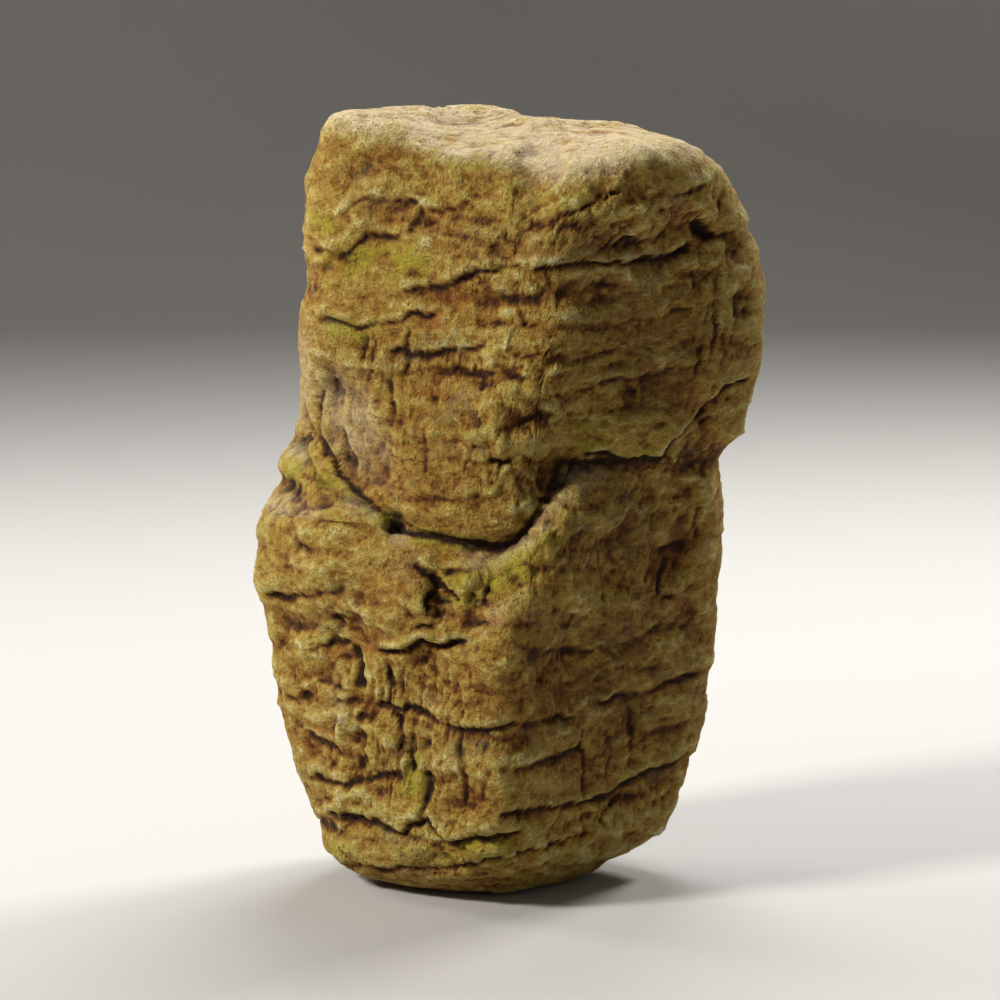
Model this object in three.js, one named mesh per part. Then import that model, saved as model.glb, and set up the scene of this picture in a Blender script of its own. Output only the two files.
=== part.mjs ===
// A weathered block of sandstone that stands on a small flat spot.
// It is one closed stone: an upper block with a jutting chin over a tapering lower block,
// parted by a deep undercut seam, with bedding ledges, a front arris, hollows and a pit.
// Millimetres, +Z up, the viewer stands at -Y. The origin is under the middle of the stone, on the ground.
import * as THREE from "three";

// Driving sizes
const columns = 88; // points round the stone
const rows = 56; // points from the foot to the crown
const spineFoot = new THREE.Vector3(-10, 0, 60);
const spineCrown = new THREE.Vector3(8, 0, 318);
const poleSwing = 2.6; // how late the rays swing to the foot and the crown
const lowerRounding = 8;
const upperRounding = 9;
const seamRow = 27; // the row that lies in the seam
const seamCrowding = 1.3; // how closely the rows gather at the seam
const stoneColour = 0xa9803f;

// The stone is looked at from this far away, a little from above. Places on its front are given as seen
// from there: millimetres across and up from the middle of the view.
const view = { distance: 1875, tilt: THREE.MathUtils.degToRad(8), aim: new THREE.Vector3(-4.5, 0, 192) };

// Flat breaks that bound each block: turn from the viewer (+ to the right), tip (+ faces up), and
// reach from the heart
const lowerBlock = {
  heart: new THREE.Vector3(-12, 0, 110),
  faces: [
    [-36, -2, 78], [47, -3, 72], [-88, -7, 114], [86, -5, 114],
    [-128, -4, 92], [128, -4, 88], [178, -4, 82], [-5, 34, 94], [-50, 40, 114], [52, 18, 110],
    [-20, -52, 119], [42, -48, 116], [-80, -44, 124], [95, -42, 124], [150, -42, 104], [-140, -42, 108],
    [0, -90, 113], [0, 90, 150],
  ],
};
const upperBlock = {
  heart: new THREE.Vector3(12, 0, 290),
  faces: [
    [-20, 1, 88], [38, -6, 82], [-88, 4, 110], [82, 2, 114], [-135, 2, 96], [135, 0, 92], [178, 2, 84],
    [-12, -34, 140], [-55, -30, 144], [70, -40, 138],
    [80, 50, 120], [85, 30, 122], [35, 83, 93], [10, 50, 112], [-165, 62, 106], [120, 60, 110],
  ],
};

// Height of the seam between the blocks, by the turn round the stone in degrees
const seam = [
  [-180, 197], [-150, 207], [-120, 217], [-88, 223], [-62, 206], [-37, 191], [-21, 185], [-3, 181], [7, 187],
  [15, 208], [22, 221], [42, 219], [60, 218], [90, 219], [125, 227], [155, 209], [180, 197],
];

// How far the stone reaches to the left and to the right, by height
const leftEdge = [
  [-6, -46], [0, -72], [7, -85], [15, -92], [30, -96], [53, -105], [68, -108], [90, -117], [112, -119],
  [135, -122], [157, -127], [179, -128], [189, -125], [194, -121], [202, -114], [209, -116], [217, -115],
  [224, -110], [232, -106], [254, -105], [276, -104], [299, -102], [336, -100], [358, -99], [366, -98],
  [378, -95],
];
const rightEdge = [
  [-2, 26], [4, 41], [10, 57], [15, 67], [23, 78], [38, 85], [53, 91], [75, 98], [90, 102], [112, 104],
  [142, 105], [164, 107], [202, 107], [213, 106], [217, 109], [222, 117], [226, 119], [239, 121], [247, 122],
  [261, 127], [284, 129], [306, 127], [321, 123], [336, 117], [351, 108], [366, 98],
];

// Swells and hollows on the front: [across, up, half width, half height, turn, how far out]
const swells = {
  chin: [-22, 15, 48, 42, 0, 5],
  capLobe: [72, 157, 48, 30, 8, 7],
  lowLobe: [72, 37, 31, 18, 5, 6],
  leftShoulder: [-100, -30, 28, 35, 0, 4],
  knobBlock: [-55, -50, 25, 17, 10, 5],
  arm: [15, -27, 42, 10, 35, 4],
  arrisHead: [-2, -75, 17, 20, 0, 4],
  rightRim: [106, -30, 11, 45, 0, 3],
  crownChute: [-22, 183, 30, 8, 0, -3],
  topCrease: [20, 165, 13, 40, -10, -5],
  capUnderside: [50, 105, 55, 12, 6, -3],
  midDent: [-30, 65, 30, 20, 0, -3],
  rightDent: [75, 85, 35, 30, 0, -3],
  neck: [50, -20, 40, 30, 30, -3],
  rightHollow: [88, -30, 10, 31, -28, -8],
  arrisHollow: [30, -75, 22, 30, 0, -4],
  leftRecess: [-89, 45, 8, 40, -4, -6],
  valley: [-30, -45, 11, 20, 0, -6],
  leftHollow: [-77, -70, 13, 15, 0, -4],
  slabHollow: [-47, -122, 10, 30, 0, -4],
  pit: [-54, -11, 9, 8, 0, -8],
  rightPit: [103, 135, 10, 6, -34, -4],
};

// Bedding ledges on the front: the points they run through as seen, how far the wall above stands out,
// how far the wall below steps back, and how deep the crack between them is
const ledges = {
  cap: {
    line: [[10, 114], [34, 117], [57, 119], [73, 121], [85, 123], [100, 129]],
    out: 3, back: 2, crack: 4,
  },
  flake: {
    line: [[-84, 140], [-65, 149], [-45, 150], [-22, 147], [-10, 151]],
    out: 1.5, back: 1, crack: 1,
  },
  brow: { line: [[-91, 93], [-69, 88], [-50, 90], [-29, 93], [-6, 95]], out: 1, back: 1.5, crack: 2 },
  wedge: { line: [[84, 22], [104, 47], [113, 56], [127, 61]], out: 1.5, back: 1, crack: 3 },
  band: {
    line: [[-64, -102], [-43, -103], [-22, -114], [-5, -114], [25, -110], [50, -104], [84, -92]],
    out: 1, back: 0.5, crack: 1.5,
  },
  chip: { line: [[-61, -75], [-47, -75], [-38, -70], [-27, -72]], out: 2, back: 1, crack: 2.5 },
  lowRight: {
    line: [[-2, -158], [28, -154], [50, -149], [68, -138], [85, -133], [97, -125]],
    out: 2, back: 1.5, crack: 3,
  },
  lowLeft: {
    line: [[-84, -157], [-62, -160], [-47, -165], [-35, -161], [-23, -170], [8, -168], [25, -164]],
    out: 2, back: 1, crack: 2,
  },
};
const ledgeFade = 8; // length over which a ledge dies out at its ends
const lipHeight = 18; // height over which the wall above a ledge falls back
const shelfHeight = 14;
const crackHalfWidth = 3.5;

// How deep the seam is cut, by the turn round the stone in degrees, and over what height
const undercut = [
  [-180, 4], [-100, 4], [-60, 4], [-20, 4], [0, 4], [10, 2], [22, 4], [40, 4], [50, 1], [90, 1], [110, 3],
  [180, 4],
];
const undercutHalfHeight = 4;

// How far the upper block may stand out over the lower one, by the turn, and the height over which
// both give way
const overhang = [
  [-180, 5], [-90, 2], [-55, 2], [-30, 4], [-8, 5], [4, 3], [9, -2], [15, -2], [21, 2], [28, 6], [44, 5],
  [55, 2], [70, 5], [90, 12], [120, 8], [180, 5],
];
const giveWay = 62;

// Rises and falls of the top: across, deep, radius, height
const crown = [[-14, 45, 36, 6], [24, 30, 24, -5], [-20, -32, 30, -5], [62, 10, 40, 2], [-82, -5, 26, -2]];

// 0 below a, 1 above b, and an S curve between
function rise(x, a, b) {
  return THREE.MathUtils.smoothstep(x, a, b);
}

// Straight-line value between the nearest two of [place, value] points
function along(points, place) {
  const last = points.length - 1;
  if (place <= points[0][0]) return points[0][1];
  if (place >= points[last][0]) return points[last][1];
  const next = points.findIndex(([at]) => at > place);
  const [a, from] = points[next - 1];
  const [b, to] = points[next];
  return from + ((to - from) * (place - a)) / (b - a);
}

function withNormals(block, rounding) {
  const planes = block.faces.map(([turn, tip, reach]) => {
    const a = THREE.MathUtils.degToRad(turn);
    const t = THREE.MathUtils.degToRad(tip);
    const normal = new THREE.Vector3(Math.sin(a) * Math.cos(t), -Math.cos(a) * Math.cos(t), Math.sin(t));
    return { normal, reach: reach + normal.dot(block.heart) };
  });
  return { planes, rounding };
}

// How far a ray from inside a block goes before its nearest face, with the arrises rounded off
function reachOf({ planes, rounding }, origin, ray) {
  const hits = planes
    .filter(({ normal }) => normal.dot(ray) > 0.05)
    .map(({ normal, reach }) => (reach - normal.dot(origin)) / normal.dot(ray));
  const nearest = Math.min(...hits);
  const crowd = hits.reduce((sum, hit) => sum + Math.exp((nearest - hit) / rounding), 0);
  return nearest - rounding * Math.log(crowd);
}

const lower = withNormals(lowerBlock, lowerRounding);
const upper = withNormals(upperBlock, upperRounding);

// A point on one of the blocks, for a turn round the stone and a share of the way from foot to crown
function blockPoint(block, turn, share) {
  const w = 2 * share - 1;
  const lift = 0.5 + 0.5 * Math.sin((w * Math.PI) / 2);
  const pitch = (Math.PI / 2) * Math.sign(w) * Math.abs(w) ** poleSwing;
  const origin = spineFoot.clone().lerp(spineCrown, lift);
  const ray = new THREE.Vector3(
    Math.sin(turn) * Math.cos(pitch),
    -Math.cos(turn) * Math.cos(pitch),
    Math.sin(pitch),
  );
  return origin.addScaledVector(ray, reachOf(block, origin, ray));
}

// Length walked along the wall from the foot, averaged over four turns, against the share
function wallLengths() {
  const fine = 300;
  const turns = [-2.4, -0.8, 0.8, 2.4];
  const wallPoint = (block, turn, i) => blockPoint(block, turn, i / fine);
  const lengths = [[0, 0]];
  for (let i = 1; i <= fine; i++) {
    const block = i / fine < 0.5 ? lower : upper;
    const steps = turns.map((turn) => wallPoint(block, turn, i).distanceTo(wallPoint(block, turn, i - 1)));
    lengths.push([lengths[i - 1][0] + steps.reduce((sum, step) => sum + step) / turns.length, i / fine]);
  }
  return lengths;
}

// The share at which a column crosses the seam, found by halving
function seamShare(turn, seamHeight) {
  let low = 0.2;
  let high = 0.8;
  for (let i = 0; i < 20; i++) {
    const middle = (low + high) / 2;
    if (blockPoint(upper, turn, middle).z < seamHeight) low = middle;
    else high = middle;
  }
  return (low + high) / 2;
}

// One column of wall points. The seam row lies in the seam, and the rows crowd towards it from both sides.
function wallColumn(turn, lengths) {
  const seamHeight = along(seam, THREE.MathUtils.radToDeg(turn));
  const atSeam = seamShare(turn, seamHeight);
  const whole = lengths[lengths.length - 1][0];
  const toSeam = along(lengths.map(([length, share]) => [share, length]), atSeam);
  return Array.from({ length: rows }, (_, r) => {
    const below = r <= seamRow;
    const away = below ? 1 - r / seamRow : (r - seamRow) / (rows - 1 - seamRow);
    const reach = away ** seamCrowding;
    const share = along(lengths, below ? toSeam * (1 - reach) : toSeam + (whole - toSeam) * reach);
    return { point: blockPoint(below ? lower : upper, turn, share), seamHeight, turn };
  });
}

// A row's shifts with its neighbours' mixed in, so that the outline stays clean
function smoothed(values) {
  return values.map((value, i) => {
    const before = values[Math.max(i - 1, 0)];
    const after = values[Math.min(i + 1, values.length - 1)];
    return 0.25 * before + 0.5 * value + 0.25 * after;
  });
}

// Draws the rows of one block out to the stone's outline on the left and on the right
function toOutline(grid) {
  const ends = grid.map((row) => {
    const byAcross = [...row].sort((a, b) => a.point.x - b.point.x);
    return [byAcross[0].point.clone(), byAcross[row.length - 1].point.clone()];
  });
  const left = ends.map(([end]) =>
    (along(leftEdge, end.z) - end.x) * (1 - rise(end.z, 352, 374)) * rise(end.z, 0.5, 10),
  );
  const right = ends.map(([, end]) =>
    (along(rightEdge, end.z) - end.x) * (1 - rise(end.z, 330, 356)) * rise(end.z, 0.5, 10),
  );
  const leftShift = smoothed(left);
  const rightShift = smoothed(right);
  grid.forEach((row, r) => {
    const [leftEnd, rightEnd] = ends[r];
    for (const { point } of row) {
      const t = (point.x - leftEnd.x) / (rightEnd.x - leftEnd.x);
      point.x += leftShift[r] * (1 - t) ** 3 + rightShift[r] * t ** 3;
    }
  });
}

// Where a point shows in the view
function seenFrom(point) {
  const p = point.clone().sub(view.aim);
  const depth = view.distance + p.y * Math.cos(view.tilt) - p.z * Math.sin(view.tilt);
  const scale = view.distance / depth;
  return { across: p.x * scale, up: (p.z * Math.cos(view.tilt) + p.y * Math.sin(view.tilt)) * scale };
}

function swellAt({ across, up }) {
  return Object.values(swells).reduce((sum, [a, h, halfWidth, halfHeight, turn, out]) => {
    const t = THREE.MathUtils.degToRad(turn);
    const dx = across - a;
    const dy = up - h;
    const s = (dx * Math.cos(t) + dy * Math.sin(t)) / halfWidth;
    const r = (-dx * Math.sin(t) + dy * Math.cos(t)) / halfHeight;
    return sum + out * (1 - rise(Math.hypot(s, r), 0.25, 1.15));
  }, 0);
}

function ledgeAt({ across, up }) {
  return Object.values(ledges).reduce((sum, { line, out, back, crack }) => {
    const start = line[0][0];
    const end = line[line.length - 1][0];
    const strength = rise(across, start - ledgeFade, start) * (1 - rise(across, end, end + ledgeFade));
    const above = up - along(line, across);
    const step = above > 0 ? out * Math.exp(-above / lipHeight) : -back * Math.exp(above / shelfHeight);
    return sum + strength * (step - crack * Math.exp(-((above / crackHalfWidth) ** 2)));
  }, 0);
}

function undercutAt({ point, seamHeight, turn }) {
  const depth = along(undercut, THREE.MathUtils.radToDeg(turn));
  return -depth * Math.exp(-(((point.z - seamHeight + 1) / undercutHalfHeight) ** 2));
}

function crownAt({ point }, normal) {
  const up = rise(normal.z, 0.3, 0.7);
  return crown.reduce((sum, [x, y, radius, height]) => {
    const far = Math.hypot(point.x - x, point.y - y) / radius;
    return sum + height * up * (1 - rise(far, 0, 1.6));
  }, 0);
}

// A closed skin: one point at the foot, the rows between, and one point at the crown
function skinOf(grid) {
  const foot = grid[0][0].point;
  const crown = grid[rows - 1][0].point;
  const rings = grid.slice(1, rows - 1);
  const positions = [foot, ...rings.flat().map(({ point }) => point), crown].flatMap((p) => p.toArray());
  const crownIndex = rings.length * columns + 1;
  const at = (ring, column) => 1 + ring * columns + (column % columns);
  const index = [];
  for (let c = 0; c < columns; c++) {
    index.push(0, at(0, c + 1), at(0, c));
    for (let r = 0; r + 1 < rings.length; r++) {
      index.push(at(r, c), at(r, c + 1), at(r + 1, c + 1));
      index.push(at(r, c), at(r + 1, c + 1), at(r + 1, c));
    }
    index.push(at(rings.length - 1, c), at(rings.length - 1, c + 1), crownIndex);
  }
  const geometry = new THREE.BufferGeometry();
  geometry.setAttribute("position", new THREE.Float32BufferAttribute(positions, 3));
  geometry.setIndex(index);
  return geometry;
}

// Where the upper block stands out too far over the lower one, the lower wall leans out to it and the upper
// wall draws back. Both die away with the height from the seam.
function closeStep(byColumn) {
  const outwards = ({ turn }) => new THREE.Vector3(Math.sin(turn), -Math.cos(turn), 0);
  const extras = byColumn.map((column) => {
    const step = column[seamRow + 1].point.clone().sub(column[seamRow].point).dot(outwards(column[0]));
    return Math.max(step - along(overhang, THREE.MathUtils.radToDeg(column[0].turn)), 0);
  });
  byColumn.forEach((column, c) => {
    const before = extras[(c + columns - 1) % columns];
    const after = extras[(c + 1) % columns];
    const extra = (before + extras[c] + after) / 3;
    const heightBelow = column[seamRow].point.z;
    const heightAbove = column[seamRow + 1].point.z;
    column.forEach(({ point }, r) => {
      const leansOut = 0.65 * (1 - rise(heightBelow - point.z, 0, 1.6 * giveWay));
      const drawsBack = -0.35 * (1 - rise(point.z - heightAbove, 0, 1.2 * giveWay));
      point.addScaledVector(outwards(column[0]), extra * (r <= seamRow ? leansOut : drawsBack));
    });
  });
}

function wallGrid() {
  const lengths = wallLengths();
  const turns = Array.from({ length: columns }, (_, c) => (c / columns) * 2 * Math.PI - Math.PI);
  const byColumn = turns.map((turn) => wallColumn(turn, lengths));
  const grid = Array.from({ length: rows }, (_, r) => byColumn.map((column) => column[r]));
  closeStep(byColumn);
  toOutline(grid.slice(1, seamRow + 1));
  toOutline(grid.slice(seamRow + 1, rows - 1));
  return grid;
}

// Moves each wall point along the wall's own normal by the forms cut into it
function carve(grid) {
  const plain = skinOf(grid);
  plain.computeVertexNormals();
  const normals = plain.getAttribute("normal");
  grid.slice(1, rows - 1).forEach((row, r) => {
    row.forEach((wall, c) => {
      const normal = new THREE.Vector3().fromBufferAttribute(normals, 1 + r * columns + c);
      const front = rise(-normal.y, 0, 0.35);
      const seen = seenFrom(wall.point);
      wall.point.addScaledVector(normal, front * (swellAt(seen) + ledgeAt(seen)));
      wall.point.addScaledVector(normal, undercutAt(wall) + crownAt(wall, normal));
    });
  });
}

function makeStone() {
  const grid = wallGrid();
  carve(grid);
  for (const { point } of grid.flat()) point.z = Math.max(point.z, 0); // the flat spot it stands on
  const geometry = skinOf(grid);
  geometry.computeBoundingBox();
  const middle = geometry.boundingBox.getCenter(new THREE.Vector3());
  geometry.translate(-middle.x, -middle.y, 0);
  const material = new THREE.MeshStandardMaterial({ color: stoneColour, roughness: 0.9, metalness: 0 });
  const stone = new THREE.Mesh(geometry, material);
  stone.name = "stone";
  return stone;
}

const sandstone = new THREE.Group();
sandstone.add(makeStone());

export default sandstone;
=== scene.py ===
# A weathered block of sandstone on its small flat spot, on a pale floor in soft light.
# The stone is one surface: a grid of points round it and up it, worked out in millimetres.
import bpy
import numpy as np
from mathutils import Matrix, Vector


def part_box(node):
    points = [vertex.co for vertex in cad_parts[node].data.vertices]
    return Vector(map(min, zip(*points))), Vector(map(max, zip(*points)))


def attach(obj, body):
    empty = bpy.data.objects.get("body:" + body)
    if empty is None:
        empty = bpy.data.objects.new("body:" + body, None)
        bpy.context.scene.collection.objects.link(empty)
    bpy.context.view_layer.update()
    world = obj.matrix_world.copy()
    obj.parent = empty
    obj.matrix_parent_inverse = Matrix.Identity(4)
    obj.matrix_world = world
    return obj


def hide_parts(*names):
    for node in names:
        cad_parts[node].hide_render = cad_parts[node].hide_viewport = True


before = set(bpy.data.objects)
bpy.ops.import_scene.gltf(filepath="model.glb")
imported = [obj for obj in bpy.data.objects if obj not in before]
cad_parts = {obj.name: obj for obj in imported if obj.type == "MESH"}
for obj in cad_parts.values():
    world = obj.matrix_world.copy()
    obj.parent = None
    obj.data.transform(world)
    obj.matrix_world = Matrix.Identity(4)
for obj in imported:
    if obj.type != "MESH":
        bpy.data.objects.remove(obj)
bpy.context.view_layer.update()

print("frame loaded")


def smooth(x, a, b):
    # 0 below a, 1 above b, an S curve between
    s = np.clip((x - a) / (b - a), 0, 1)
    return s * s * (3 - 2 * s)


def bump(x):
    # a bell: 1 at 0, falling to nothing by about 2
    return np.exp(-x * x)


def lattice(ix, iy, iz, seed):
    # a repeatable number from 0 to 1 for every corner of a lattice, by mixing the corner's whole numbers
    h = (ix * 73856093) ^ (iy * 19349663) ^ (iz * 83492791) ^ (seed * 40503017)
    h = ((h & 0x7FFFFFFF) ^ ((h & 0x7FFFFFFF) >> 13)) * 1274126177
    h = (h & 0x7FFFFFFF) ^ ((h & 0x7FFFFFFF) >> 15)
    h = (h * 668265263) & 0x7FFFFFFF
    return ((h >> 7) & 0xFFFF) / 65535.0


def corners(steps):
    # every mix of three of the steps
    return [(cx, cy, cz) for cx in steps for cy in steps for cz in steps]


def noise(p, size, seed):
    # smooth noise from -1 to 1: lattice numbers blended by an S curve between corners size apart
    q = p / np.array(size, float)
    i = np.floor(q).astype(np.int64)
    f = q - i
    f = f * f * f * (f * (f * 6 - 15) + 10)
    total = 0
    for corner in corners((0, 1)):
        weight = np.prod([np.abs(1 - corner[k] - f[..., k]) for k in range(3)], axis=0)
        at = i + np.array(corner)
        total = total + weight * lattice(at[..., 0], at[..., 1], at[..., 2], seed)
    return 2 * total - 1


def layers(p, size, seed, octaves=4, gain=0.5):
    # several layers of noise, each half the size of the last and gain times as strong
    size = np.array(size, float) * np.ones(3)
    total, strength, whole = 0, 1.0, 0.0
    for octave in range(octaves):
        total = total + strength * noise(p, size / 2 ** octave, seed + 17 * octave)
        whole += strength
        strength *= gain
    return total / whole


farAway = 9.0  # further, in cells, than any seed can be from the nearest one
bowlTilt, bowlMiddle = 1.1, 0.25  # how strongly a bowl leans, and the mean depth of all bowls


def seedsAround(q, seed):
    # the scattered seeds of the 27 lattice cells round each point, cell by cell: the way from the seed to the
    # point, the seed's own number and the slope that it leans along
    base = np.floor(q).astype(np.int64)
    for corner in corners((-1, 0, 1)):
        i = base + np.array(corner)
        ix, iy, iz = i[..., 0], i[..., 1], i[..., 2]
        away = [q[..., k] - (i[..., k] + lattice(ix, iy, iz, seed + 101 * k)) for k in range(3)]
        leans = [lattice(ix, iy, iz, seed + 707 * (k + 1)) - 0.5 for k in range(3)]
        yield away, lattice(ix, iy, iz, seed + 404), leans


def cells(p, size, seed):
    # cells round scattered seeds: each point gets its nearest seed's number, how near the next seed is,
    # and how far it lies from its seed along a slope of the seed's own
    q = p / np.array(size, float)
    nearest = np.full(q.shape[:-1], farAway)
    second = nearest.copy()
    number = np.zeros(q.shape[:-1])
    slope = number.copy()
    for away, own, leans in seedsAround(q, seed):
        far = np.sqrt(sum(away[k] ** 2 for k in range(3)))
        closer = far < nearest
        second = np.where(closer, nearest, np.minimum(second, far))
        number = np.where(closer, own, number)
        slope = np.where(closer, sum(away[k] * leans[k] for k in range(3)), slope)
        nearest = np.where(closer, far, nearest)
    return number - 0.5, second - nearest, slope


def scoops(p, size, seed):
    # shallow bowls with sharp rims between them: the lowest of the bowls round scattered seeds, each bowl
    # being the squared distance from its seed plus a tilt of its own
    q = p / np.array(size, float)
    lowest = np.full(q.shape[:-1], farAway)
    for away, number, leans in seedsAround(q, seed):
        bowl = sum(away[k] ** 2 + bowlTilt * leans[k] * away[k] for k in range(3))
        lowest = np.minimum(lowest, bowl)
    return lowest - bowlMiddle


def spread(h, reach):
    # the mean over a square of the grid, 2 reach + 1 points on a side, wrapping round the stone
    wide = sum(np.roll(h, k, 1) for k in range(-reach, reach + 1)) / (2 * reach + 1)
    rows = np.arange(len(h))
    return sum(wide[np.clip(rows + k, 0, len(h) - 1)] for k in range(-reach, reach + 1)) / (2 * reach + 1)


# degrees and millimetres, in the stone's own frame; the picture is 1000 pixels square
cameraAt = {"tilt": 8.0, "distance": 1875.0, "lens": 135.0, "sensor": 36.0, "aim": (-4.5, 0.0, 192.0)}
pictureMiddle = 500.0
pixelsPerSlope = 1000.0 * cameraAt["lens"] / cameraAt["sensor"]


def seen(p):
    # where the camera sees a point: its slopes across and down from the aim, in pixels of the picture
    tilt = np.radians(cameraAt["tilt"])
    x, y, z = (p[..., k] - cameraAt["aim"][k] for k in range(3))
    depth = cameraAt["distance"] + y * np.cos(tilt) - z * np.sin(tilt)
    up = z * np.cos(tilt) + y * np.sin(tilt)
    return pictureMiddle + pixelsPerSlope * x / depth, pictureMiddle - pixelsPerSlope * up / depth


# two blocks, each bounded by flat breaks: turn from the viewer, tip upwards, reach from the heart
stoneForm = {
    "columns": 392, "rowsBelow": 121, "rowsBetween": 3, "rowsAbove": 131,
    "frontGather": 0.43,  # how closely the columns stand on the side that faces the viewer
    "seamCrowding": 1.1, "poleSwing": 2.6,
    "walkSteps": 600, "walkTurns": (-2.4, -0.8, 0.8, 2.4), "longestStep": 6.0,
    "rowGather": [(2, 0.35), (8, 1), (360, 1), (378, 0.8)],  # fewer rows under it, by height
    "seamWithin": (0.2, 0.8), "seamHalvings": 24,
    "spineFoot": (-10.0, 0.0, 60.0), "spineCrown": (8.0, 0.0, 318.0),
    "lowerHeart": (-12.0, 0.0, 110.0), "lowerRounding": 8.0,
    "lowerFaces": [
        (-36, -2, 78), (47, -3, 72), (-88, -7, 114), (86, -5, 114), (-128, -4, 89), (128, -4, 88),
        (178, -4, 82), (-5, 34, 94), (-50, 40, 114), (52, 18, 110), (-20, -52, 119), (42, -48, 116),
        (-80, -44, 124), (95, -42, 124), (150, -42, 104), (-140, -42, 108), (0, -90, 113), (0, 90, 150)],
    "upperHeart": (12.0, 0.0, 290.0), "upperRounding": 9.0,
    "upperFaces": [
        (-20, 1, 88), (38, -6, 82), (-88, 4, 110), (82, 2, 114), (-135, 2, 104), (135, 0, 92),
        (178, 2, 84), (-12, -34, 140), (-55, -30, 144), (70, -40, 138), (80, 50, 120), (85, 30, 122),
        (35, 83, 93), (10, 50, 112), (-165, 62, 106), (120, 60, 110)],
    # height of the seam by turn round the stone
    "seam": [
        (-180, 197), (-150, 207), (-120, 217), (-88, 223), (-62, 206), (-37, 191), (-21, 185), (-3, 181),
        (7, 187), (15, 208), (22, 221), (42, 219), (60, 218), (90, 219), (125, 227), (155, 209),
        (180, 197)],
    # how far it reaches left and right, by height
    "leftEdge": [
        (-6, -46), (0, -72), (7, -85), (15, -92), (30, -96), (53, -105), (68, -108), (90, -117),
        (112, -119), (135, -122), (157, -127), (179, -128), (189, -125), (194, -121), (202, -114),
        (209, -116), (217, -115), (224, -110), (232, -106), (254, -105), (276, -104), (299, -102),
        (336, -100), (358, -99), (366, -98), (378, -95)],
    "rightEdge": [
        (-2, 26), (4, 41), (10, 57), (15, 67), (23, 78), (38, 85), (53, 91), (75, 98), (90, 102),
        (112, 104), (142, 105), (164, 107), (202, 107), (213, 106), (217, 109), (222, 117), (226, 119),
        (239, 121), (247, 122), (261, 127), (284, 129), (306, 127), (321, 123), (336, 117), (351, 108),
        (366, 98)],
    # heights over which the outline lets go of the rows, at its top left and right and at its foot
    "leftTop": (352, 374), "rightTop": (330, 356), "edgeFoot": (0.5, 10),
    # how deep the seam is cut, by turn round the stone
    "undercut": [
        (-180, 3), (-100, 1.5), (-60, 0.6), (-30, 1.0), (-12, 2.2), (0, 2.4), (6, 0.6), (18, 0.3),
        (24, 1.6), (40, 1.8), (50, 0.3), (90, 0.3), (110, 2.0), (180, 3)],
    # rises and falls of the top: across, deep, radius, height
    "crown": [(-14, 45, 36, 6), (24, 30, 24, -5), (-20, -32, 30, -5), (62, 10, 40, 2), (-82, -5, 26, -2)],
    # how far the upper block may stand out over the lower one, and how far from the seam both give way
    "overhang": [
        (-180, 5), (-90, 1), (-55, 0.5), (-30, 1.5), (-8, 3), (2, 1.5), (7, -3), (17, -3), (22, 0),
        (28, 4), (44, 4), (55, 2), (70, 4), (90, 8), (120, 6), (180, 4)],
    "giveWay": 62.0, "leanOut": (0.65, 1.6), "drawBack": (0.35, 1.2),  # share of the step, and its reach
    # how far the step at the seam is evened out, by turn
    "evened": [
        (-180, 0.95), (-42, 0.95), (-30, 0.3), (-10, 0.1), (6, 0.2), (14, 0.6), (24, 0.3), (40, 0.3),
        (52, 0.95), (180, 0.95)],
    "middle": (0.23, -6.13),  # of the finished stone's outline, across and deep
}


def faceNormals(faces):
    # the way each break faces, from its turn and its tip
    turn = np.radians([f[0] for f in faces])
    tip = np.radians([f[1] for f in faces])
    return np.stack([np.sin(turn) * np.cos(tip), -np.cos(turn) * np.cos(tip), np.sin(tip)], 1)


def blockPoint(part, turn, share):
    # a ray leaves the spine, which climbs with the share, and swings from straight down at the foot to
    # straight up at the crown; it goes on to the nearest of the block's breaks, and a soft minimum
    # rounds the arrises between them
    w = 2 * share - 1
    lift = 0.5 + 0.5 * np.sin(w * np.pi / 2)
    pitch = np.pi / 2 * np.sign(w) * np.abs(w) ** stoneForm["poleSwing"]
    foot, crown = np.array(stoneForm["spineFoot"]), np.array(stoneForm["spineCrown"])
    origin = foot + (crown - foot) * lift[..., None]
    ray = np.stack([np.sin(turn) * np.cos(pitch), -np.cos(turn) * np.cos(pitch), np.sin(pitch)], -1)
    faces = stoneForm[part + "Faces"]
    rounding = stoneForm[part + "Rounding"]
    n = faceNormals(faces)
    facing = ray @ n.T
    gap = np.array([f[2] for f in faces], float) - (origin - np.array(stoneForm[part + "Heart"])) @ n.T
    t = np.where(facing > 0.05, gap / np.maximum(facing, 0.05), 1e4)
    nearest = t.min(-1, keepdims=True)
    reach = nearest - rounding * np.log(np.exp((nearest - t) / rounding).sum(-1, keepdims=True))
    return origin + ray * reach


def tableAt(name, place):
    # straight-line value of one of the stone's tables at each place
    table = np.array(stoneForm[name], float)
    return np.interp(place, table[:, 0], table[:, 1])


def wallLengths():
    # length walked along the wall from foot to crown against the share, a mean over four turns
    steps, turns = stoneForm["walkSteps"], np.array(stoneForm["walkTurns"])
    share = np.linspace(0, 1, steps)[:, None] * np.ones(turns.shape)
    turn = np.ones((steps, 1)) * turns
    low, up = blockPoint("lower", turn, share), blockPoint("upper", turn, share)
    p = np.where(share[..., None] < 0.5, low, up)
    step = np.linalg.norm(np.diff(p, axis=0), axis=2)
    step = np.minimum(step, stoneForm["longestStep"]).mean(1)
    step = step * tableAt("rowGather", p[1:, :, 2].mean(1))
    return np.concatenate([[0], np.cumsum(step)]), share[:, 0]


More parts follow.
